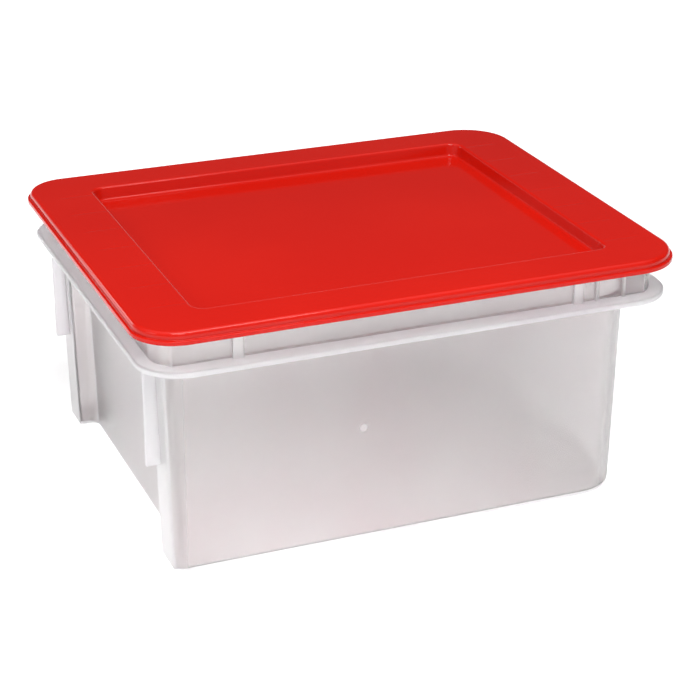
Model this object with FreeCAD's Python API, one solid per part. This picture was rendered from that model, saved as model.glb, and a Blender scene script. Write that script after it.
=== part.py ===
import FreeCAD, Part
import math
import os

# An art supply box: a clear moulded tub that nests or stacks when turned end for end, and a lift-off lid.
# Millimetres. +Z is up, X runs along the box, the front faces -Y and the origin is under the middle of the box.
# The left end carries two corner posts beside a sunken panel, and the right end is plain with wide corners.
# Sizes in pairs are for the left and the right end.

# Rim of the tub, under the lid
rim_length = 421.2
rim_width = 347.2
rim_corners = (29.0, 36.6)
rim_drop = 4.2
rim_edge = 0.7
tub_height = 199.7

# Carrying flange
flange_length = 423.0
flange_width = 345.8
flange_corners = (34.5, 37.5)
flange_edge = 1.6
flange_height = 169.1

# Collar between the flange and the rim
rim_overhang = 10.0
collar_corners = (27.0, 30.0)
collar_flat = 4.6
collar_rib_depth = 3.0
broad_rib_width = 8.0
thin_rib_width = 2.0
left_rib_inset = 59.6
right_rib_inset = 71.6
thin_rib_insets = (55.9, 33.0)

# Walls of the tub
wall = 2.4
floor = 2.6
draft_angle = 1.21
side_inset = 6.7
body_corners = (13.0, 41.5)
bottom_round = 1.5
floor_edge = 1.5
end_inset = 14.4

# Left end: two corner posts beside a sunken panel
post_inset = 6.3
post_width = 42.3
post_edge = 4.8
panel_inset = 21.5
panel_corner = 3.0

# Stop fins on the posts, under the flange
fin_inset = 27.4
fin_width = 3.4
fin_reach = 3.0
fin_bottom = 80.5
fin_edge = 1.2

# Moulding mark on the front wall
gate_place = -42.7
gate_height = 93.9
gate_radius = 3.0
gate_depth = 0.5

# Lid
lid_wall = 2.0
lid_clearance = 0.5
lip_flare = 2.9
lip_height = 3.0
lip_edge = 0.6
skirt_depth = 8.9
lid_edge_round = 2.5

# Sunken panel of the lid
tray_end_margin = 45.2
tray_side_margin = 34.1
tray_corner = 11.0
tray_depth = 10.8
tray_slope = 2.0
tray_brink = 0.8
tray_foot = 1.2

# Ribs under the ends of the lid
lid_rib_count = 7
lid_rib_pitch = 41.7
lid_rib_width = 1.4
lid_rib_depth = 6.0
lid_rib_clearance = 1.0

# Worked out from the sizes above
taper = math.tan(math.radians(draft_angle))
rim_x = rim_length / 2
rim_y = rim_width / 2
collar_x = rim_x - rim_overhang
collar_y = rim_y - rim_overhang
collar_flat_y = collar_y - collar_flat
side_y = collar_y - side_inset
panel_y = side_y - post_width
lid_reach = lid_clearance + lid_wall + lip_flare
lid_top = tub_height + lid_wall
lip_base = lid_top - skirt_depth
tray_x = rim_x - tray_end_margin
tray_y = rim_y - tray_side_margin


def rounded_wire(corners, z):
    """Closed wire at height z through (x, y, radius) corners that turn by right angles, sharp at radius 0."""
    edges = []
    starts = []
    ends = []
    middles = []
    count = len(corners)
    for i in range(count):
        x, y, radius = corners[i]
        here = FreeCAD.Vector(x, y, z)
        before = FreeCAD.Vector(corners[i - 1][0], corners[i - 1][1], z)
        after = FreeCAD.Vector(corners[(i + 1) % count][0], corners[(i + 1) % count][1], z)
        back = (before - here).normalize()
        ahead = (after - here).normalize()
        starts.append(here + back * radius)
        ends.append(here + ahead * radius)
        middles.append(here + (back + ahead) * radius * (1 - math.sqrt(0.5)))
    for i in range(count):
        if corners[i][2] > 0:
            edges.append(Part.Arc(starts[i], middles[i], ends[i]).toShape())
        edges.append(Part.LineSegment(ends[i], starts[(i + 1) % count]).toShape())
    return Part.Wire(edges)


def rectangle(half_x, half_y, radii):
    """Corners of a rectangle about the origin, with its left and right corner radii."""
    left, right = radii
    return [(-half_x, -half_y, left), (half_x, -half_y, right), (half_x, half_y, right), (-half_x, half_y, left)]


def grown(radii, amount):
    """Corner radii of an outline that is moved outwards by an amount."""
    return [radius + amount for radius in radii]


def prism(corners, low, high):
    """Straight block over a rounded outline."""
    face = Part.Face(rounded_wire(corners, low))
    return face.extrude(FreeCAD.Vector(0, 0, high - low))


def block(low_corner, high_corner):
    """Plain box between two opposite corners."""
    low = FreeCAD.Vector(*low_corner)
    size = FreeCAD.Vector(*high_corner) - low
    return Part.makeBox(size.x, size.y, size.z, low)


def both_sides(shape):
    """A shape and its copy mirrored from front to back."""
    return [shape, shape.mirror(FreeCAD.Vector(), FreeCAD.Vector(0, 1, 0))]


def joined(shapes):
    """One solid from shapes that are fused in turn."""
    solid = shapes[0]
    for shape in shapes[1:]:
        solid = solid.fuse(shape)
    return solid


def edges_at(shape, z):
    """Edges of a shape that lie flat at height z."""
    box = [(edge, edge.BoundBox) for edge in shape.Edges]
    return [edge for edge, b in box if abs(b.ZMin - z) < 1e-4 and abs(b.ZMax - z) < 1e-4]


def body_outline(z, inset):
    """Corners of the tapering body at height z, moved inwards by inset. Inside, the post edges are sharp."""
    narrowing = (flange_height - z) * taper + inset
    side = side_y - narrowing
    post = collar_x - post_inset - narrowing
    end = collar_x - end_inset - narrowing
    panel = collar_x - panel_inset - narrowing
    edge = panel_y + narrowing
    left, right = grown(body_corners, -narrowing)
    outer = 0.0 if inset > 0 else post_edge - narrowing
    inner = panel_corner + narrowing
    return [(-post, -side, left), (end, -side, right), (end, side, right), (-post, side, left),
            (-post, edge, outer), (-panel, edge, inner), (-panel, -edge, inner), (-post, -edge, outer)]


def tapered_body(low, high, inset):
    """Body between two heights, as a block that narrows downwards."""
    wires = [rounded_wire(body_outline(z, inset), z) for z in (low, high)]
    return Part.makeLoft(wires, True, True)


def stop_fins():
    """Upright fins on the end faces of the posts, with rounded outer edges."""
    face = collar_x + fin_reach
    root = collar_x - panel_inset
    place = side_y - fin_inset
    fin = block((-face, place - fin_width / 2, fin_bottom), (-root, place + fin_width / 2, flange_height - wall / 2))
    outer = [edge for edge in fin.Edges if edge.BoundBox.XMax < 1e-4 - face]
    return both_sides(fin.makeFillet(fin_edge, outer))


def plate(half_x, half_y, radii, top, edge):
    """Flat plate with a turned-down edge, filled in the middle."""
    outer = prism(rectangle(half_x, half_y, radii), top - rim_drop, top)
    outer = outer.makeChamfer(edge, edges_at(outer, top))
    inner = rectangle(half_x - wall, half_y - wall, grown(radii, -wall))
    return outer.cut(prism(inner, top - rim_drop, top - wall))


def collar(inset, low, high):
    """Block of the collar, flattened along its long sides."""
    corners = rectangle(collar_x - inset, collar_y - inset, grown(collar_corners, -inset))
    flat = collar_flat_y - inset
    return prism(corners, low, high).common(block((-rim_x, -flat, low), (rim_x, flat, high)))


def collar_ribs():
    """Upright ribs on the long sides of the collar, front and back."""
    ribs = [(left_rib_inset - collar_x, broad_rib_width), (collar_x - right_rib_inset, broad_rib_width)]
    ribs += [(collar_x - inset, thin_rib_width) for inset in thin_rib_insets]
    made = []
    for place, width in ribs:
        rib = block((place - width / 2, -collar_flat_y - collar_rib_depth, flange_height - wall / 2),
                    (place + width / 2, -collar_flat_y + wall / 2, tub_height - wall / 2))
        made += both_sides(rib)
    return made


def gate_mark():
    """Shallow round dimple with a pip, left by the moulding point on the front wall."""
    face_y = side_y - (flange_height - gate_height) * taper
    centre = FreeCAD.Vector(gate_place, -face_y - gate_depth, gate_height)
    along = FreeCAD.Vector(0, 1, 0)
    dimple = Part.makeCylinder(gate_radius, 2 * gate_depth, centre, along)
    pip = Part.makeCylinder(gate_radius / 3, 2 * gate_depth, centre + along * gate_depth, along)
    return dimple.cut(pip)


def make_tub():
    """Open tub: body, fins, flange, collar and rim as one moulding with an even wall."""
    body = tapered_body(0.0, flange_height, 0.0)
    body = body.makeFillet(bottom_round, edges_at(body, 0.0))
    stand = collar(0.0, flange_height - wall, tub_height)
    flange = plate(flange_length / 2, flange_width / 2, flange_corners, flange_height, flange_edge)
    rim = plate(rim_x, rim_y, rim_corners, tub_height, rim_edge)
    outside = joined([body, flange, stand, rim] + stop_fins() + collar_ribs())
    cavity = tapered_body(floor, flange_height, wall)
    cavity = cavity.makeChamfer(floor_edge, edges_at(cavity, floor))
    inside = cavity.fuse(collar(wall, flange_height, tub_height))
    return outside.cut(inside).cut(gate_mark()).removeSplitter()


def tray(outset, low, high):
    """Block of the lid's sunken panel, with sloping sides."""
    wires = []
    for z, reach in ((low, outset - tray_slope), (high, outset)):
        radius = tray_corner + reach
        wires.append(rounded_wire(rectangle(tray_x + reach, tray_y + reach, (radius, radius)), z))
    return Part.makeLoft(wires, True, True)


def lid_ribs():
    """Cross ribs under both ends of the lid, between the sunken panel and the tub's collar."""
    root = tray_x + lid_wall / 2
    tip = collar_x - wall - lid_rib_clearance
    top = lid_top - lid_wall
    made = []
    for index in range(lid_rib_count):
        place = (index - (lid_rib_count - 1) / 2) * lid_rib_pitch
        for side in (-1, 1):
            ends = sorted((side * root, side * tip))
            made.append(block((ends[0], place - lid_rib_width / 2, top - lid_rib_depth),
                              (ends[1], place + lid_rib_width / 2, top + lid_wall / 2)))
    return made


def skirt(outset, low, high):
    """Block over the rim's outline, moved outwards by outset."""
    return prism(rectangle(rim_x + outset, rim_y + outset, grown(rim_corners, outset)), low, high)


def make_lid():
    """Lid: stepped skirt with a flared lip, flat rim, sunken panel and underside ribs."""
    lip_top = lip_base + lip_height
    lip = skirt(lid_reach, lip_base, lip_top)
    lip = lip.makeChamfer(lip_edge, edges_at(lip, lip_top))
    crown = skirt(lid_reach - lip_flare, lip_base, lid_top)
    crown = crown.makeFillet(lid_edge_round, edges_at(crown, lid_top))
    mouth = skirt(lid_reach - lid_wall, lip_base, lip_top - lid_wall)
    pocket = skirt(lid_clearance, lip_base, lid_top - lid_wall)
    tray_floor = lid_top - tray_depth
    bowl = tray(lid_wall, tray_floor - lid_wall, lid_top - lid_wall)
    hollow = tray(0.0, tray_floor, lid_top)
    hollow = hollow.makeChamfer(tray_foot, edges_at(hollow, tray_floor))
    solid = joined([lip.fuse(crown).cut(mouth).cut(pocket), bowl] + lid_ribs()).cut(hollow)
    brink = [edge for edge in edges_at(solid, lid_top) if edge.distToShape(hollow)[0] < 1e-4]
    return solid.makeChamfer(tray_brink, brink).removeSplitter()


def main():
    os.makedirs("parts", exist_ok=True)
    for name, shape in (("tub", make_tub()), ("lid", make_lid())):
        shape.Solids[0].exportStep("parts/" + name + ".step")
        print(name, len(shape.Solids), shape.isValid(), round(shape.Volume), shape.BoundBox)


main()
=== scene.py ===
import math

import bmesh
import bpy
from bpy.props import FloatProperty, FloatVectorProperty, IntProperty, PointerProperty
from bpy.types import Operator, Panel, PropertyGroup
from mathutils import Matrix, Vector


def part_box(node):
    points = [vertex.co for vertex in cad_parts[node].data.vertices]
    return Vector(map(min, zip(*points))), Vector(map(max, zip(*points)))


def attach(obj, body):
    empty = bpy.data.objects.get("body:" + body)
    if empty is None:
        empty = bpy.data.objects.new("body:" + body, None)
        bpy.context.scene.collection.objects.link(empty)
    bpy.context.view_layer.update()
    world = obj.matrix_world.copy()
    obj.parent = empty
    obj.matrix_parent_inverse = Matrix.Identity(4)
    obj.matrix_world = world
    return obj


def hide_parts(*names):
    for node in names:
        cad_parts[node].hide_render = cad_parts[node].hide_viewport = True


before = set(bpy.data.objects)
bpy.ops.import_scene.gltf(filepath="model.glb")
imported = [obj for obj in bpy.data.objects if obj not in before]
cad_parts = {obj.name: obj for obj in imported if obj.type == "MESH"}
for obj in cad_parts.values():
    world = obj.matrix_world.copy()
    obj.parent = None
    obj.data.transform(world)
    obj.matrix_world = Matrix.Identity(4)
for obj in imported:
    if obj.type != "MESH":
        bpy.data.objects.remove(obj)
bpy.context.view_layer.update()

bl_info = {
    "name": "Art supply box",
    "version": (1, 0, 0),
    "blender": (4, 5, 0),
    "location": "3D View > Sidebar > Art box",
    "description": "Dresses a clear stacking tub and its red lift-off lid",
    "category": "Object",
}

MM = 0.001
SAME_PLACE = 0.001 * MM
PLASTIC_IOR = 1.49
SKIN_DEPTH = 0.6 * MM

# Number of steps round a corner and along a side of the lid's loops
ARC_STEPS = 16
SIDE_STEPS = 8

# Sizes of the lid that more than one function uses
LID_WALL = 2.0 * MM
LID_LIP = 5.4 * MM

# Slots of the tub's four tones of plastic
WALL, EDGE, HALF_CLEAR, FROSTED = range(4)


class TubProperties(PropertyGroup):
    """Looks of the clear tub."""

    wall_colour: FloatVectorProperty(
        name="Wall", description="Colour of the milky plastic where it is thin",
        default=(0.90, 0.888, 0.887), subtype="COLOR", size=3, min=0.0, max=1.0)
    edge_colour: FloatVectorProperty(
        name="Edge", description="Colour of the milky plastic where it is thick",
        default=(0.95, 0.94, 0.966), subtype="COLOR", size=3, min=0.0, max=1.0)
    wall_clearness: FloatProperty(
        name="Wall clearness", description="Share of the light that passes through a thin wall",
        default=0.90, min=0.0, max=1.0, subtype="FACTOR")
    edge_clearness: FloatProperty(
        name="Edge clearness", description="Share of the light that passes through the flange and the rim",
        default=0.30, min=0.0, max=1.0, subtype="FACTOR")
    post_clearness: FloatProperty(
        name="Post clearness", description="Share of the light that passes through posts, fins and lip",
        default=0.58, min=0.0, max=1.0, subtype="FACTOR")


class LidProperties(PropertyGroup):
    """Looks of the red lid."""

    crown_round: FloatProperty(
        name="Crown round", description="Length of the rounding at the outer top edge of the lid",
        default=3.8 * MM, min=0.0, unit="LENGTH")
    brink_round: FloatProperty(
        name="Brink round", description="Length of the rounding at the top of the sunken panel's wall",
        default=2.2 * MM, min=0.0, unit="LENGTH")
    foot_round: FloatProperty(
        name="Foot round", description="Length of the rounding at the foot of the sunken panel's wall",
        default=2.2 * MM, min=0.0, unit="LENGTH")
    rib_count: IntProperty(
        name="Ribs per end", description="Number of ribs under each end of the lid",
        default=7, min=1)
    rib_width: FloatProperty(
        name="Rib width", description="Thickness of a rib at its root",
        default=1.4 * MM, min=0.0001, unit="LENGTH")
    rib_depth: FloatProperty(
        name="Rib depth", description="How far a rib hangs down under the lid",
        default=6.0 * MM, min=0.001, unit="LENGTH")
    bright: FloatVectorProperty(
        name="Bright red", description="Lightest tone of the red plastic",
        default=(0.50, 0.0082, 0.0031), subtype="COLOR", size=3, min=0.0, max=1.0)
    deep: FloatVectorProperty(
        name="Deep red", description="Darkest tone of the red plastic",
        default=(0.475, 0.0070, 0.0027), subtype="COLOR", size=3, min=0.0, max=1.0)
    rib_pitch: FloatProperty(
        name="Rib pitch", description="Distance between the ribs, which leave sink marks on top",
        default=41.7 * MM, min=0.001, unit="LENGTH")


class StageProperties(PropertyGroup):
    """Floor, light and camera."""

    floor_colour: FloatVectorProperty(
        name="Floor", description="Colour of the pale floor",
        default=(0.93, 0.93, 0.935), subtype="COLOR", size=3, min=0.0, max=1.0)
    glow_front: FloatProperty(
        name="Glow in front", description="Brightness of the light that comes up through the floor in front",
        default=0.84, min=0.0)
    glow_back: FloatProperty(
        name="Glow at the back", description="Brightness of the light that comes up through the floor behind",
        default=0.5, min=0.0)
    room_back: FloatProperty(
        name="Room back", description="Brightness of the room behind the box and to its right",
        default=0.09, min=0.0)
    room_front: FloatProperty(
        name="Room front", description="Brightness of the room in front of the box and to its left",
        default=0.48, min=0.0)
    backdrop: FloatProperty(
        name="Backdrop", description="Brightness of the low white backdrop behind the box and to its left",
        default=0.9, min=0.0)
    room_top: FloatProperty(
        name="Room top", description="Brightness of the room overhead",
        default=1.3, min=0.0)
    key_power: FloatProperty(
        name="Key power", description="Power of the soft box above the left front",
        default=6.4, min=0.0, unit="POWER")
    left_power: FloatProperty(
        name="Left power", description="Power of the soft box to the left",
        default=2.7, min=0.0, unit="POWER")
    back_power: FloatProperty(
        name="Back power", description="Power of the small soft box behind, to the left",
        default=0.9, min=0.0, unit="POWER")
    fill_power: FloatProperty(
        name="Fill power", description="Power of the light overhead",
        default=7.2, min=0.0, unit="POWER")
    camera_place: FloatVectorProperty(
        name="Camera place", description="Where the camera stands",
        default=(-0.55644, -1.40751, 0.75022), subtype="TRANSLATION", size=3)
    camera_pitch: FloatProperty(
        name="Camera pitch", description="Angle by which the camera looks down",
        default=math.radians(23.676), subtype="ANGLE")
    camera_turn: FloatProperty(
        name="Camera turn", description="Angle by which the camera looks to the right of the Y axis",
        default=math.radians(21.877), subtype="ANGLE")
    camera_lens: FloatProperty(
        name="Camera lens", description="Focal length in millimetres on a 36 mm sensor",
        default=104.33, min=1.0)


def new_material(name):
    """An empty node material with its output and its one Principled shader."""
    material = bpy.data.materials.new(name)
    material.use_nodes = True
    tree = material.node_tree
    tree.nodes.clear()
    output = tree.nodes.new("ShaderNodeOutputMaterial")
    shader = tree.nodes.new("ShaderNodeBsdfPrincipled")
    tree.links.new(shader.outputs["BSDF"], output.inputs["Surface"])
    return material, tree, shader


def add_node(tree, kind, **values):
    """A node with values set on its named inputs, or linked to them when they are sockets."""
    node = tree.nodes.new(kind)
    for name, value in values.items():
        socket = node.inputs[name]
        if isinstance(value, bpy.types.NodeSocket):
            tree.links.new(value, socket)
        else:
            socket.default_value = value
    return node


def math_node(tree, operation, first, second=0.0, clamp=False):
    """Output of one Math node."""
    node = tree.nodes.new("ShaderNodeMath")
    node.operation = operation
    node.use_clamp = clamp
    for socket, value in zip(node.inputs, (first, second)):
        if isinstance(value, bpy.types.NodeSocket):
            tree.links.new(value, socket)
        else:
            socket.default_value = value
    return node.outputs["Value"]


def ranged(tree, value, low, high, to_low=0.0, to_high=1.0):
    """A value mapped smoothly from one range to another."""
    node = tree.nodes.new("ShaderNodeMapRange")
    node.interpolation_type = "SMOOTHSTEP"
    tree.links.new(value, node.inputs["Value"])
    for name, number in (("From Min", low), ("From Max", high), ("To Min", to_low), ("To Max", to_high)):
        node.inputs[name].default_value = number
    return node.outputs["Result"]


def mixed_colour(tree, factor, first, second):
    """A mix of two colours by a factor."""
    node = tree.nodes.new("ShaderNodeMix")
    node.data_type = "RGBA"
    tree.links.new(factor, node.inputs["Factor"])
    for name, colour in (("A", first), ("B", second)):
        socket = next(s for s in node.inputs if s.name == name and s.type == "RGBA")
        if isinstance(colour, bpy.types.NodeSocket):
            tree.links.new(colour, socket)
        else:
            socket.default_value = (*colour, 1.0)
    return next(s for s in node.outputs if s.type == "RGBA")


def number_mix(tree, factor, first, second):
    """A mix of two numbers by a factor."""
    node = tree.nodes.new("ShaderNodeMix")
    for name, value in (("Factor", factor), ("A", first), ("B", second)):
        if isinstance(value, bpy.types.NodeSocket):
            tree.links.new(value, node.inputs[name])
        else:
            node.inputs[name].default_value = value
    return node.outputs["Result"]


def new_group(name, inputs, outputs):
    """An empty shader node group with named float inputs and outputs."""
    group = bpy.data.node_groups.new(name, "ShaderNodeTree")
    for label, default in inputs:
        socket = group.interface.new_socket(label, in_out="INPUT", socket_type="NodeSocketFloat")
        socket.default_value = default
    for label in outputs:
        group.interface.new_socket(label, in_out="OUTPUT", socket_type="NodeSocketFloat")
    return group, group.nodes.new("NodeGroupInput"), group.nodes.new("NodeGroupOutput")


def moulded_skin_group():
    """Skin of a moulded wall: a slow waviness, a fine grain and soft cloudy tone."""
    group, given, result = new_group(
        "moulded_skin", (("Wave", 1.0), ("Grain", 1.0), ("Cloud Scale", 14.0)), ("Height", "Cloud"))
    place = group.nodes.new("ShaderNodeTexCoord").outputs["Object"]
    wave = add_node(group, "ShaderNodeTexNoise", Vector=place, Scale=26.0, Detail=1.0)
    grain = add_node(group, "ShaderNodeTexNoise", Vector=place, Scale=2400.0, Detail=2.0)
    cloud = add_node(group, "ShaderNodeTexNoise", Vector=place, Detail=3.0,
                     Scale=given.outputs["Cloud Scale"])
    slow = math_node(group, "MULTIPLY", wave.outputs["Fac"], given.outputs["Wave"])
    fine = math_node(group, "MULTIPLY", grain.outputs["Fac"], given.outputs["Grain"])
    group.links.new(math_node(group, "ADD", slow, fine), result.inputs["Height"])
    group.links.new(cloud.outputs["Fac"], result.inputs["Cloud"])
    return group


def handling_wear_group():
    """Hair scratches and dull rubbed patches from use."""
    group, given, result = new_group("handling_wear", (("Scratches", 1.0), ("Rubbing", 1.0)), ("Wear",))
    place = group.nodes.new("ShaderNodeTexCoord").outputs["Object"]
    scratch_turns = (0.5, 1.4, 2.6)
    scratch_start, scratch_full = 0.70, 0.76
    rub_start, rub_full = 0.52, 0.72
    lines = []
    for turn in scratch_turns:
        turned = group.nodes.new("ShaderNodeMapping")
        group.links.new(place, turned.inputs["Vector"])
        turned.inputs["Rotation"].default_value = (0.0, 0.0, turn)
        turned.inputs["Scale"].default_value = (14.0, 900.0, 14.0)
        noise = add_node(group, "ShaderNodeTexNoise", Vector=turned.outputs["Vector"], Scale=1.0, Detail=1.0)
        lines.append(ranged(group, noise.outputs["Fac"], scratch_start, scratch_full))
    patch = add_node(group, "ShaderNodeTexNoise", Vector=place, Scale=55.0, Detail=4.0, Roughness=0.65)
    rubbed = ranged(group, patch.outputs["Fac"], rub_start, rub_full)
    scratch = math_node(group, "MAXIMUM", math_node(group, "MAXIMUM", lines[0], lines[1]), lines[2])
    scratch = math_node(group, "MULTIPLY", scratch, given.outputs["Scratches"])
    rubbed = math_node(group, "MULTIPLY", rubbed, given.outputs["Rubbing"])
    group.links.new(math_node(group, "ADD", scratch, rubbed, clamp=True), result.inputs["Wear"])
    return group


def place_group(tree, name, make, **values):
    """The shared node group of that name, made when first asked for and placed with its own values."""
    node = tree.nodes.new("ShaderNodeGroup")
    node.node_tree = bpy.data.node_groups.get(name) or make()
    for label, value in values.items():
        node.inputs[label.replace("_", " ")].default_value = value
    return node


def object_axes(tree):
    """X, Y and Z outputs of the piece's own coordinates."""
    place = tree.nodes.new("ShaderNodeTexCoord").outputs["Object"]
    return add_node(tree, "ShaderNodeSeparateXYZ", Vector=place).outputs


def clear_plastic(name, colour, clearness, glow_depth, frost):
    """Milky see-through plastic with a soft gloss, cloudy tone and scuffs that gather at the base."""
    dull_share = (0.95, 0.915, 0.923)
    scuff_height = 45.0 * MM
    scuffs_above = 0.25
    cloud_frost, scuff_frost = 0.04, 0.015
    material, tree, shader = new_material(name)
    skin = place_group(tree, "moulded_skin", moulded_skin_group, Wave=0.6, Grain=0.0, Cloud_Scale=9.0)
    wear = place_group(tree, "handling_wear", handling_wear_group, Scratches=0.5, Rubbing=0.6)
    low = ranged(tree, object_axes(tree)["Z"], scuff_height, 0.0, scuffs_above, 1.0)
    scuffs = math_node(tree, "MULTIPLY", wear.outputs["Wear"], low)
    dull = [part * share for part, share in zip(colour, dull_share)]
    tone = mixed_colour(tree, ranged(tree, skin.outputs["Cloud"], 0.3, 0.7), dull, colour)
    tone = mixed_colour(tree, math_node(tree, "MULTIPLY", scuffs, 0.25), tone, colour)
    tree.links.new(tone, shader.inputs["Base Color"])
    rough = ranged(tree, skin.outputs["Cloud"], 0.25, 0.75, frost, frost + cloud_frost)
    rough = math_node(tree, "ADD", rough, math_node(tree, "MULTIPLY", scuffs, scuff_frost))
    tree.links.new(rough, shader.inputs["Roughness"])
    bump = add_node(tree, "ShaderNodeBump", Strength=0.35, Distance=SKIN_DEPTH, Height=skin.outputs["Height"])
    tree.links.new(bump.outputs["Normal"], shader.inputs["Normal"])
    shader.inputs["Transmission Weight"].default_value = clearness
    shader.inputs["Subsurface Weight"].default_value = 1.0
    shader.inputs["Subsurface Radius"].default_value = (1.0, 0.95, 1.0)
    shader.inputs["Subsurface Scale"].default_value = glow_depth
    shader.inputs["IOR"].default_value = PLASTIC_IOR
    return material


def sink_marks(tree, settings):
    """Shallow dips on the ends of the lid, one over each rib below."""
    mark_start, mark_end = 166.0 * MM, 196.0 * MM
    mark_width = 2.2 * MM
    fade = 3.0 * MM
    outermost = 3.4 * settings.rib_pitch
    axes = object_axes(tree)
    along = math_node(tree, "ABSOLUTE", axes["X"])
    across = math_node(tree, "ABSOLUTE", axes["Y"])
    from_rib = math_node(tree, "PINGPONG", axes["Y"], settings.rib_pitch / 2)
    mark = ranged(tree, from_rib, 0.0, mark_width, 1.0, 0.0)
    limits = (
        ranged(tree, across, outermost - MM, outermost, 1.0, 0.0),
        ranged(tree, along, mark_start - fade, mark_start + fade),
        ranged(tree, along, mark_end - fade, mark_end + fade, 1.0, 0.0))
    for limit in limits:
        mark = math_node(tree, "MULTIPLY", mark, limit)
    return mark


def red_plastic(settings):
    """Glossy red plastic with sink marks, a faint orange-peel skin and hair scratches."""
    mark_depth = 0.4
    smooth, worn = 0.12, 0.17
    material, tree, shader = new_material("glossy_red_plastic")
    skin = place_group(tree, "moulded_skin", moulded_skin_group, Wave=0.25, Grain=0.004, Cloud_Scale=7.0)
    wear = place_group(tree, "handling_wear", handling_wear_group, Scratches=0.7, Rubbing=0.5)
    tone = mixed_colour(tree, ranged(tree, skin.outputs["Cloud"], 0.3, 0.7), settings.deep, settings.bright)
    tree.links.new(tone, shader.inputs["Base Color"])
    tree.links.new(ranged(tree, wear.outputs["Wear"], 0.0, 1.0, smooth, worn), shader.inputs["Roughness"])
    marks = math_node(tree, "MULTIPLY", sink_marks(tree, settings), -mark_depth)
    height = math_node(tree, "ADD", skin.outputs["Height"], marks)
    bump = add_node(tree, "ShaderNodeBump", Strength=0.5, Distance=SKIN_DEPTH, Height=height)
    tree.links.new(bump.outputs["Normal"], shader.inputs["Normal"])
    shader.inputs["IOR"].default_value = PLASTIC_IOR
    shader.inputs["Specular IOR Level"].default_value = 0.22
    return material


def baked_mesh(piece):
    """The plain mesh that an object's modifiers make. The object itself is removed."""
    bpy.context.view_layer.update()
    mesh = bpy.data.meshes.new_from_object(piece.evaluated_get(bpy.context.evaluated_depsgraph_get()))
    bpy.data.objects.remove(piece)
    return mesh


def softly_shaded(name, work, materials, sharp_angle):
    """A piece whose chamfers and roundings shade softly between flat faces, from a finished bmesh."""
    for face in work.faces:
        face.smooth = True
    for edge in work.edges:
        edge.smooth = edge.calc_face_angle(0.0) < sharp_angle
    mesh = bpy.data.meshes.new(name + "_raw")
    for material in materials:
        mesh.materials.append(material)
    work.to_mesh(mesh)
    work.free()
    raw = bpy.data.objects.new(name + "_raw", mesh)
    bpy.context.scene.collection.objects.link(raw)
    raw.modifiers.new("even shading", "WEIGHTED_NORMAL").keep_sharp = True
    baked = baked_mesh(raw)
    if not baked.polygons:
        raise RuntimeError(name + " came out empty")
    baked.name = name
    piece = bpy.data.objects.new(name, baked)
    bpy.context.scene.collection.objects.link(piece)
    return piece


def outside_collar(x, y):
    """Distance of a point outside the collar's outline, or less than zero inside it."""
    half_length, half_width, radius = 200.6 * MM, 163.6 * MM, 28.0 * MM
    past_x = abs(x) - (half_length - radius)
    past_y = abs(y) - (half_width - radius)
    if past_x > 0.0 and past_y > 0.0:
        return math.hypot(past_x, past_y) - radius
    return max(past_x, past_y) - radius


def tub_tone(face, band_height):
    """Slot of the tone that a face of the tub has, which is milkier where the plastic is thick."""
    flange_low, flange_high, rim_low = 163.0 * MM, 169.2 * MM, 195.0 * MM
    fin_top, lip_foot = 168.0 * MM, 150.0 * MM
    fin_start, end_start = -194.6 * MM, -150.0 * MM
    rib_side, post_side = 159.3 * MM, 105.0 * MM
    flange_reach, lip_reach = 0.3 * MM, 7.5 * MM
    mark_x, mark_height, mark_reach = -42.7 * MM, 93.9 * MM, 3.1 * MM
    middle = face.calc_center_median()
    side = abs(middle.y)
    outset = outside_collar(middle.x, middle.y)
    upright = abs(face.normal.z) < 0.99
    left_end = middle.x < end_start
    lip = upright and middle.z > lip_foot and outset > lip_reach
    fin = middle.x < fin_start and middle.z < fin_top
    post = left_end and face.normal.x < -0.8 and side > post_side
    from_mark = max(math.hypot(vert.co.x - mark_x, vert.co.z - mark_height) for vert in face.verts)
    mark = middle.y < 0.0 and from_mark < mark_reach
    if lip or fin or post or mark:
        return HALF_CLEAR
    flange = outset > flange_reach or (not upright and flange_low < middle.z < flange_high)
    rib = middle.z > flange_high and side > rib_side
    band = upright and middle.z < band_height
    if flange or rib or band or middle.z > rim_low:
        return EDGE
    return FROSTED if left_end else WALL


def tub_shell(settings):
    """A closed copy of the CAD tub, merged and cleared of needless edges, in four tones of plastic."""
    band_height = 3.4 * MM
    clear_frost, milky_frost = 0.21, 0.29
    work = bmesh.new()
    work.from_mesh(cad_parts["tub"].data)
    bmesh.ops.remove_doubles(work, verts=work.verts, dist=SAME_PLACE)
    bmesh.ops.dissolve_limit(work, angle_limit=math.radians(0.2), verts=work.verts, edges=work.edges)
    whole = work.verts[:] + work.edges[:] + work.faces[:]
    bmesh.ops.bisect_plane(
        work, geom=whole, dist=SAME_PLACE, plane_co=(0.0, 0.0, band_height), plane_no=(0.0, 0.0, 1.0))
    for face in work.faces:
        face.material_index = tub_tone(face, band_height)
    thin = (settings.wall_colour, settings.wall_clearness, 2.0 * MM)
    thick = (settings.edge_colour, settings.edge_clearness, 12.0 * MM)
    between = (settings.edge_colour, settings.post_clearness, 6.0 * MM)
    tones = {
        WALL: clear_plastic("milky_clear_wall", *thin, clear_frost),
        EDGE: clear_plastic("milky_clear_edge", *thick, milky_frost),
        HALF_CLEAR: clear_plastic("half_clear_post", *between, milky_frost),
        FROSTED: clear_plastic("frosted_clear_end", *thin, milky_frost),
    }
    materials = [tones[slot] for slot in sorted(tones)]
    return softly_shaded("tub_shell", work, materials, sharp_angle=math.radians(55.0))


def corner_arc(centre, radius, start, count):
    """Points on a quarter circle that turns to the left from a start angle."""
    angles = [start + math.pi / 2 * step / count for step in range(count + 1)]
    return [(centre[0] + radius * math.cos(a), centre[1] + radius * math.sin(a)) for a in angles]


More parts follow.
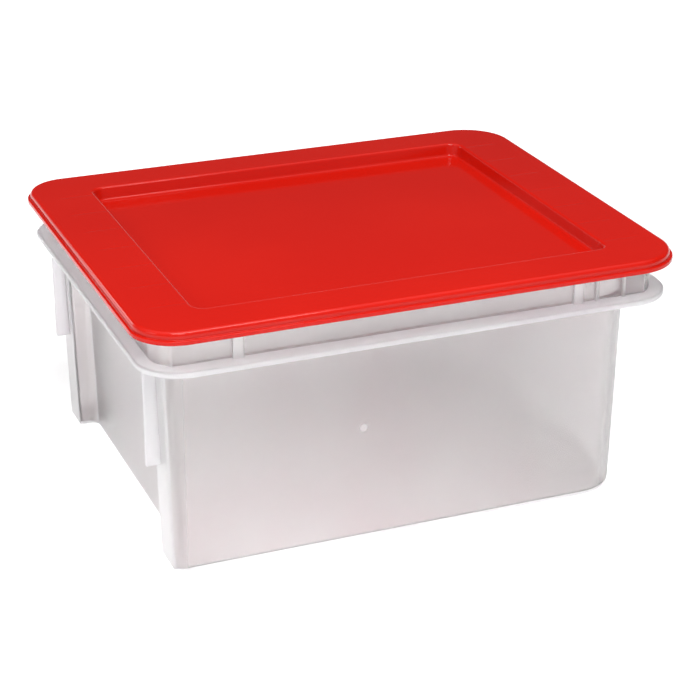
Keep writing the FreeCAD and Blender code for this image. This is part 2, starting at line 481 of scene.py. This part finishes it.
def rounded_loop(half_x, half_y, radii, z):
    """Points round a rectangle with round corners, the same number whatever its size."""
    left, right = radii
    corners = (
        (-1, -1, left, math.pi), (1, -1, right, 1.5 * math.pi),
        (1, 1, right, 0.0), (-1, 1, left, 0.5 * math.pi))
    arcs = []
    for side_x, side_y, radius, start in corners:
        centre = (side_x * (half_x - radius), side_y * (half_y - radius))
        arcs.append(corner_arc(centre, radius, start, ARC_STEPS))
    points = []
    for index, arc in enumerate(arcs):
        points += arc
        begin, end = arc[-1], arcs[(index + 1) % 4][0]
        for step in range(1, SIDE_STEPS):
            share = step / SIDE_STEPS
            points.append((begin[0] + (end[0] - begin[0]) * share, begin[1] + (end[1] - begin[1]) * share))
    return [(x, y, z) for x, y in points]


def eased(start, corner, end, count=5):
    """Points of a section that rounds a corner from a start point to an end point."""
    points = []
    for step in range(count + 1):
        t = step / count
        near_start, near_corner, near_end = (1 - t) ** 2, 2 * t * (1 - t), t ** 2
        points.append(tuple(
            near_start * a + near_corner * b + near_end * c for a, b, c in zip(start, corner, end)))
    return points


def lid_section(settings, top):
    """Section of the lid's wall, from the sunken panel's floor over the rim to the underside.

    Each point has the name of an outline, a distance outside that outline and a height.
    """
    panel_depth, panel_lean = 10.8 * MM, 2.0 * MM
    slope = panel_lean / panel_depth
    floor = top - panel_depth
    ceiling, underside = top - LID_WALL, floor - LID_WALL
    brink, foot, crown = settings.brink_round, settings.foot_round, settings.crown_round
    skirt, inside, mouth = 3.1 * MM, 1.1 * MM, 3.4 * MM
    lip_low = top - 8.9 * MM
    lip_high = lip_low + 3.3 * MM
    step = lip_low + 1.0 * MM
    bend, nose, inner_bend = 0.5 * MM, 0.7 * MM, 1.0 * MM
    mouth_bend, step_break, step_bend = 0.2 * MM, 0.1 * MM, 0.3 * MM
    bowl_bend = 1.2 * MM
    panel = eased((-panel_lean - foot, floor), (-panel_lean, floor),
                  (-panel_lean + slope * foot, floor + foot))
    panel += eased((-slope * brink, top - brink), (0.0, top), (brink, top))
    rim = eased((skirt - crown, top), (skirt, top), (skirt, top - crown), 7)
    rim += eased((skirt, lip_high + bend), (skirt, lip_high), (skirt + bend, lip_high), 3)
    rim += eased((LID_LIP - nose, lip_high), (LID_LIP, lip_high), (LID_LIP, lip_high - nose), 4)
    rim += eased((LID_LIP, lip_low + bend), (LID_LIP, lip_low), (LID_LIP - bend, lip_low), 3)
    rim += eased((mouth + mouth_bend, lip_low), (mouth, lip_low), (mouth, lip_low + mouth_bend), 2)
    rim += eased((mouth, step - step_break), (mouth, step), (mouth - step_break, step), 1)
    rim += eased((inside + step_bend, step), (inside, step), (inside, step + step_bend), 2)
    rim += eased((inside, ceiling - inner_bend), (inside, ceiling), (inside - inner_bend, ceiling), 3)
    bowl = eased((LID_WALL + inner_bend, ceiling), (LID_WALL, ceiling),
                 (LID_WALL - slope * inner_bend, ceiling - inner_bend), 3)
    bowl += eased((slope * bowl_bend, underside + bowl_bend), (0.0, underside), (-bowl_bend, underside), 4)
    return [("panel", *p) for p in panel] + [("rim", *p) for p in rim] + [("panel", *p) for p in bowl]


def lid_shell(settings, material):
    """The lid as one closed wall, drawn through rounded loops that follow its section."""
    end_width, side_width = 45.2 * MM, 34.1 * MM
    rim_corners = (29.0 * MM, 36.6 * MM)
    panel_corners = (11.0 * MM, 11.0 * MM)
    low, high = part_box("lid")
    rim_half = ((high[0] - low[0]) / 2 - LID_LIP, (high[1] - low[1]) / 2 - LID_LIP)
    panel_half = (rim_half[0] - end_width, rim_half[1] - side_width)
    outlines = {"rim": (rim_half, rim_corners), "panel": (panel_half, panel_corners)}
    work = bmesh.new()
    loops = []
    for outline, outset, z in lid_section(settings, high[2]):
        (half_x, half_y), (left, right) = outlines[outline]
        points = rounded_loop(half_x + outset, half_y + outset, (left + outset, right + outset), z)
        loops.append([work.verts.new(point) for point in points])
    work.faces.new(loops[0])
    work.faces.new(reversed(loops[-1]))
    for inner, outer in zip(loops, loops[1:]):
        count = len(inner)
        for index in range(count):
            after = (index + 1) % count
            work.faces.new((inner[index], outer[index], outer[after], inner[after]))
    return softly_shaded("lid_shell", work, (material,), sharp_angle=math.radians(70.0))


def rib_tree():
    """Geometry nodes for a row of tapered ribs under each end of the lid."""
    tree = bpy.data.node_groups.new("end_ribs", "GeometryNodeTree")
    lengths = ("Pitch", "Width", "Edge Width", "Height", "Edge Round", "Root", "Tip", "Middle Height")
    inputs = [("Count", "Int"), *((label, "Float") for label in lengths), ("Material", "Material")]
    for label, kind in inputs:
        tree.interface.new_socket(label, in_out="INPUT", socket_type="NodeSocket" + kind)
    tree.interface.new_socket("Geometry", in_out="OUTPUT", socket_type="NodeSocketGeometry")
    given = tree.nodes.new("NodeGroupInput").outputs
    result = tree.nodes.new("NodeGroupOutput")
    section = tree.nodes.new("GeometryNodeCurvePrimitiveQuadrilateral")
    section.mode = "TRAPEZOID"
    for name, source in (("Bottom Width", "Edge Width"), ("Top Width", "Width"), ("Height", "Height")):
        tree.links.new(given[source], section.inputs[name])
    section.inputs["Offset"].default_value = 0.0
    rounded = tree.nodes.new("GeometryNodeFilletCurve")
    rounded.mode = "POLY"
    rounded.inputs["Count"].default_value = 3
    tree.links.new(section.outputs["Curve"], rounded.inputs["Curve"])
    tree.links.new(given["Edge Round"], rounded.inputs["Radius"])
    begin = add_node(tree, "ShaderNodeCombineXYZ", X=given["Root"], Z=given["Middle Height"])
    end = add_node(tree, "ShaderNodeCombineXYZ", X=given["Tip"], Z=given["Middle Height"])
    rail = add_node(tree, "GeometryNodeCurvePrimitiveLine",
                    Start=begin.outputs["Vector"], End=end.outputs["Vector"])
    upright = tree.nodes.new("GeometryNodeSetCurveNormal")
    upright.mode = "Z_UP"
    tree.links.new(rail.outputs["Curve"], upright.inputs["Curve"])
    rib = tree.nodes.new("GeometryNodeCurveToMesh")
    tree.links.new(upright.outputs["Curve"], rib.inputs["Curve"])
    tree.links.new(rounded.outputs["Curve"], rib.inputs["Profile Curve"])
    rib.inputs["Fill Caps"].default_value = True
    steps = math_node(tree, "SUBTRACT", given["Count"], 1.0)
    first = math_node(tree, "MULTIPLY", math_node(tree, "MULTIPLY", steps, given["Pitch"]), -0.5)
    row_start = add_node(tree, "ShaderNodeCombineXYZ", Y=first)
    row_step = add_node(tree, "ShaderNodeCombineXYZ", Y=given["Pitch"])
    row = tree.nodes.new("GeometryNodeMeshLine")
    tree.links.new(given["Count"], row.inputs["Count"])
    tree.links.new(row_start.outputs["Vector"], row.inputs["Start Location"])
    tree.links.new(row_step.outputs["Vector"], row.inputs["Offset"])
    ribs = tree.nodes.new("GeometryNodeInstanceOnPoints")
    tree.links.new(row.outputs["Mesh"], ribs.inputs["Points"])
    tree.links.new(rib.outputs["Mesh"], ribs.inputs["Instance"])
    turned = tree.nodes.new("GeometryNodeTransform")
    turned.inputs["Rotation"].default_value = (0.0, 0.0, math.pi)
    tree.links.new(ribs.outputs["Instances"], turned.inputs["Geometry"])
    both = tree.nodes.new("GeometryNodeJoinGeometry")
    tree.links.new(ribs.outputs["Instances"], both.inputs["Geometry"])
    tree.links.new(turned.outputs["Geometry"], both.inputs["Geometry"])
    real = tree.nodes.new("GeometryNodeRealizeInstances")
    tree.links.new(both.outputs["Geometry"], real.inputs["Geometry"])
    dressed = tree.nodes.new("GeometryNodeSetMaterial")
    tree.links.new(real.outputs["Geometry"], dressed.inputs["Geometry"])
    tree.links.new(given["Material"], dressed.inputs["Material"])
    tree.links.new(dressed.outputs["Geometry"], result.inputs["Geometry"])
    return tree


def lid_ribs(settings, material):
    """The ribs under both ends of the lid, as one mesh."""
    sunk = 1.0 * MM
    taper = 0.8
    edge_round = 0.3 * MM
    root, tip = 166.4 * MM, 197.2 * MM
    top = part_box("lid")[1][2] - LID_WALL + sunk
    height = settings.rib_depth + sunk
    values = {
        "Count": settings.rib_count, "Pitch": settings.rib_pitch, "Width": settings.rib_width,
        "Edge Width": taper * settings.rib_width, "Height": height, "Edge Round": edge_round,
        "Root": root, "Tip": tip, "Middle Height": top - height / 2, "Material": material,
    }
    tree = rib_tree()
    raw = bpy.data.objects.new("lid_ribs_raw", bpy.data.meshes.new("lid_ribs_raw"))
    modifier = raw.modifiers.new("end ribs", "NODES")
    modifier.node_group = tree
    for socket in tree.interface.items_tree:
        if socket.in_out == "INPUT":
            modifier[socket.identifier] = values[socket.name]
    bpy.context.scene.collection.objects.link(raw)
    work = bmesh.new()
    work.from_mesh(baked_mesh(raw))
    bmesh.ops.remove_doubles(work, verts=work.verts, dist=SAME_PLACE)
    return softly_shaded("lid_ribs", work, (material,), sharp_angle=math.radians(35.0))


class ARTBOX_OT_tub(Operator):
    """Makes the clear tub's shell"""

    bl_idname = "artbox.tub"
    bl_label = "Clear tub"

    def execute(self, context):
        settings = context.scene.artbox_tub
        shell = tub_shell(settings)
        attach(shell, "tub")
        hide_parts("tub")
        return {"FINISHED"}


class ARTBOX_OT_lid(Operator):
    """Makes the red lid's shell and the ribs under its ends"""

    bl_idname = "artbox.lid"
    bl_label = "Red lid"

    def execute(self, context):
        settings = context.scene.artbox_lid
        material = red_plastic(settings)
        for piece in (lid_shell(settings, material), lid_ribs(settings, material)):
            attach(piece, "lid")
            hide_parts("lid")
        return {"FINISHED"}


def floor_material(settings):
    """Pale matte floor with a faint unevenness, lit from below like a light table, most in front."""
    front_end, back_end = -0.16, 0.18
    side, left_gain, right_gain = 0.2, 1.28, 0.80
    under_box, beside_box, beside_gain = 0.15, 0.28, 0.45
    far_start, far_end, far_glow = 0.35, 1.3, 0.6
    material, tree, shader = new_material("pale_floor")
    place = tree.nodes.new("ShaderNodeTexCoord").outputs["Object"]
    cloud = add_node(tree, "ShaderNodeTexNoise", Vector=place, Scale=1.5, Detail=2.0)
    shade = [part * 0.99 for part in settings.floor_colour]
    tree.links.new(mixed_colour(tree, cloud.outputs["Fac"], shade, settings.floor_colour),
                   shader.inputs["Base Color"])
    shader.inputs["Roughness"].default_value = 0.9
    axes = object_axes(tree)
    glow = ranged(tree, axes["Y"], front_end, back_end, settings.glow_front, settings.glow_back)
    glow = math_node(tree, "MULTIPLY", glow, ranged(tree, axes["X"], -side, side, left_gain, right_gain))
    shrunk = add_node(tree, "ShaderNodeMapping", Vector=place, Scale=(0.8, 1.0, 1.0))
    distance = add_node(tree, "ShaderNodeVectorMath", Vector=shrunk.outputs["Vector"])
    distance.operation = "LENGTH"
    near = ranged(tree, distance.outputs["Value"], under_box, beside_box, 1.0, beside_gain)
    far = ranged(tree, distance.outputs["Value"], far_start, far_end, 0.0, far_glow)
    glow = math_node(tree, "ADD", math_node(tree, "MULTIPLY", glow, near), far)
    tree.links.new(glow, shader.inputs["Emission Strength"])
    shader.inputs["Emission Color"].default_value = (1.0, 1.0, 1.0, 1.0)
    return material


def studio_floor(settings):
    """A wide flat floor just under the box."""
    half, height = 6.0, -0.2 * MM
    mesh = bpy.data.meshes.new("floor")
    corners = [(-half, -half, height), (half, -half, height), (half, half, height), (-half, half, height)]
    mesh.from_pydata(corners, [], [(0, 1, 2, 3)])
    mesh.materials.append(floor_material(settings))
    floor = bpy.data.objects.new("floor", mesh)
    bpy.context.scene.collection.objects.link(floor)
    return floor


def area_light(name, place, target, size, power):
    """A soft rectangular light that faces a point and stays out of the picture."""
    data = bpy.data.lights.new(name, "AREA")
    data.shape = "RECTANGLE"
    data.size, data.size_y = size
    data.energy = power
    light = bpy.data.objects.new(name, data)
    light.location = place
    light.rotation_euler = (Vector(target) - Vector(place)).to_track_quat("-Z", "Y").to_euler()
    light.visible_camera = False
    bpy.context.scene.collection.objects.link(light)


def studio_camera(settings):
    """The camera at the photograph's angle."""
    data = bpy.data.cameras.new("camera")
    data.sensor_width = 36.0
    data.lens = settings.camera_lens
    camera = bpy.data.objects.new("camera", data)
    camera.location = settings.camera_place
    camera.rotation_euler = (math.pi / 2 - settings.camera_pitch, 0.0, -settings.camera_turn)
    bpy.context.scene.collection.objects.link(camera)
    return camera


def studio_world(settings):
    """A soft room, bright overhead and in front, with a low backdrop, that shows as white behind the box."""
    to_front_left = (-0.77, -0.64, 0.0)
    dim_below, bright_above = -0.4, 0.25
    behind_start, behind_full = 0.1, 0.5
    left_start, left_full = -0.4, -0.8
    backdrop_edge, backdrop_top = 0.08, 0.18
    overhead_start, overhead_full = 0.62, 0.95
    world = bpy.data.worlds.new("studio_room")
    world.use_nodes = True
    tree = world.node_tree
    background = tree.nodes["Background"]
    background.inputs["Color"].default_value = (1.0, 1.0, 1.0, 1.0)
    toward = tree.nodes.new("ShaderNodeTexCoord").outputs["Generated"]
    front_left = tree.nodes.new("ShaderNodeVectorMath")
    front_left.operation = "DOT_PRODUCT"
    tree.links.new(toward, front_left.inputs[0])
    front_left.inputs[1].default_value = to_front_left
    around = ranged(tree, front_left.outputs["Value"], dim_below, bright_above,
                    settings.room_back, settings.room_front)
    apart = add_node(tree, "ShaderNodeSeparateXYZ", Vector=toward)
    height = apart.outputs["Z"]
    behind = ranged(tree, apart.outputs["Y"], behind_start, behind_full)
    beside = ranged(tree, apart.outputs["X"], left_start, left_full)
    screen = math_node(tree, "MAXIMUM", behind, beside)
    backdrop = ranged(tree, height, backdrop_edge, backdrop_top, settings.backdrop, 0.0)
    around = math_node(tree, "MAXIMUM", around, math_node(tree, "MULTIPLY", screen, backdrop))
    upward = ranged(tree, height, overhead_start, overhead_full)
    brightness = number_mix(tree, upward, around, settings.room_top)
    seen = tree.nodes.new("ShaderNodeLightPath").outputs["Is Camera Ray"]
    tree.links.new(number_mix(tree, seen, brightness, 1.0), background.inputs["Strength"])
    return world


class ARTBOX_OT_stage(Operator):
    """Makes the floor, the studio light and the camera"""

    bl_idname = "artbox.stage"
    bl_label = "Stage"

    def execute(self, context):
        scene = context.scene
        settings = scene.artbox_stage
        middle, left_edge = (0.0, 0.0, 0.12), (-0.21, 0.0, 0.2)
        floor = studio_floor(settings)
        area_light("key_soft_box", (-0.3, -1.0, 1.25), middle, (0.6, 0.4), settings.key_power)
        area_light("overhead_light", (-0.05, -0.42, 1.1), middle, (0.6, 0.5), settings.fill_power)
        area_light("left_soft_box", (-1.4, -0.3, 0.9), middle, (0.6, 0.6), settings.left_power)
        area_light("back_soft_box", (-0.68, 0.8, 0.45), left_edge, (0.24, 0.3), settings.back_power)
        scene.world = studio_world(settings)
        scene.camera = studio_camera(settings)
        scene.view_settings.view_transform = "Standard"
        return {"FINISHED"}


class ARTBOX_PT_panel(Panel):
    """Lists the box's pieces in the sidebar"""

    bl_idname = "ARTBOX_PT_panel"
    bl_label = "Art supply box"
    bl_space_type = "VIEW_3D"
    bl_region_type = "UI"
    bl_category = "Art box"

    def draw(self, context):
        for (name, _), operator in zip(SETTINGS, OPERATORS):
            settings = getattr(context.scene, name)
            box = self.layout.box()
            for prop in settings.__annotations__:
                box.prop(settings, prop)
            box.operator(operator.bl_idname)


SETTINGS = (("artbox_tub", TubProperties), ("artbox_lid", LidProperties), ("artbox_stage", StageProperties))
OPERATORS = (ARTBOX_OT_tub, ARTBOX_OT_lid, ARTBOX_OT_stage)


def register():
    """Makes the settings, the operators and the panel known to Blender."""
    for name, group in SETTINGS:
        bpy.utils.register_class(group)
        setattr(bpy.types.Scene, name, PointerProperty(type=group))
    for operator in OPERATORS:
        bpy.utils.register_class(operator)
    bpy.utils.register_class(ARTBOX_PT_panel)


def unregister():
    """Takes the panel, the operators and the settings away again."""
    bpy.utils.unregister_class(ARTBOX_PT_panel)
    for operator in reversed(OPERATORS):
        bpy.utils.unregister_class(operator)
    for name, group in reversed(SETTINGS):
        delattr(bpy.types.Scene, name)
        bpy.utils.unregister_class(group)


def main():
    """Builds the box on its stage."""
    register()
    bpy.ops.artbox.tub()
    bpy.ops.artbox.lid()
    bpy.ops.artbox.stage()


if __name__ == "__main__":
    main()
